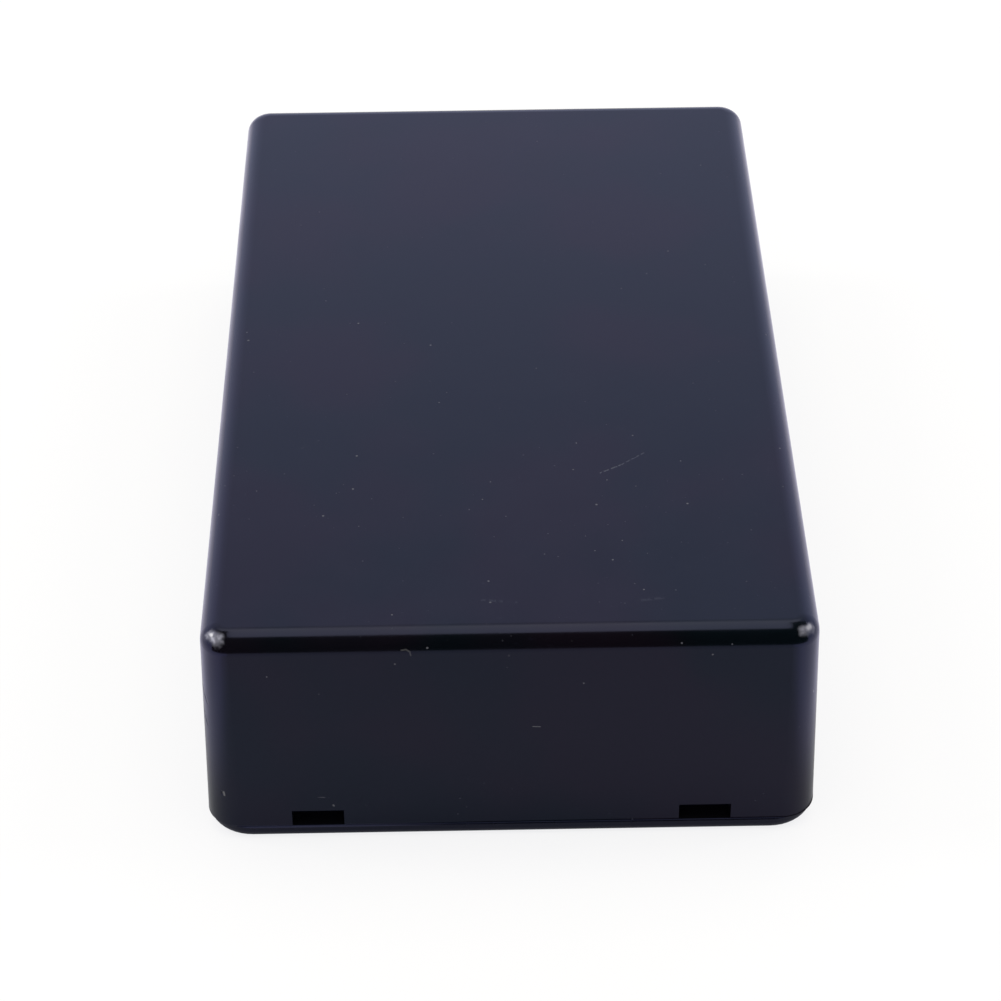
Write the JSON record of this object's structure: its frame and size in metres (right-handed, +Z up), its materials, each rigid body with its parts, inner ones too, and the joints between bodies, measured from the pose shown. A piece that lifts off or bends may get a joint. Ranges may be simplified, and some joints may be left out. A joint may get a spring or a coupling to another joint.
{
  "type": "plastic project box",
  "caption": "Rectangular black plastic project box: a deep cover that snaps over a flat base with a locating lip, snap tongues, pry slots and circuit board posts.",
  "frame": {"origin": "centre of the underside of the base, on the surface that the box stands on", "axes": "+X across the 60 mm width, +Y along the 100 mm length, +Z up through the cover"},
  "size_m": [0.06, 0.1, 0.025],
  "materials": {
    "cover_plastic": "smooth satin-gloss moulded black with a slight blue cast, fine dust and light scratches",
    "base_plastic": "smooth satin moulded black"
  },
  "bodies": {
    "base": {"base": "base_plastic"},
    "cover": {"cover": "cover_plastic"}
  },
  "joints": [
    {"name": "cover_lift", "type": "slide", "parent": "base", "child": "cover", "axis": [0, 0, 1], "range_m": [0, 0.04]}
  ]
}
